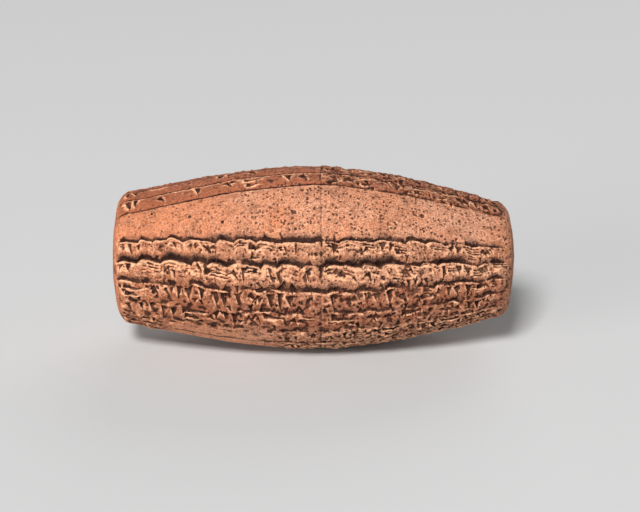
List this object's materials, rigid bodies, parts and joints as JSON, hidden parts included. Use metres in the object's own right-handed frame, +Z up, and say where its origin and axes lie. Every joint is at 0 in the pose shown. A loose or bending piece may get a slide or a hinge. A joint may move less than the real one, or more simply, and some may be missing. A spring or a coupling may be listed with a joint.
{
  "type": "cuneiform clay cylinder",
  "caption": "Solid barrel-shaped clay cylinder with two columns of ruled rows of wedge-shaped presses and one smooth blank band, lying on a small resting flat.",
  "frame": {"origin": "middle of the barrel's length and width, on the surface that it rests on, at the middle of its small resting flat", "axes": "+X along the barrel from its wider end to its narrower end, -Y out of the front where the rows of text start under the blank band, +Z up"},
  "size_m": [0.13, 0.0586, 0.0582],
  "materials": {
    "clay": null
  },
  "bodies": {
    "root": {"clay_cylinder": "clay"}
  },
  "joints": []
}
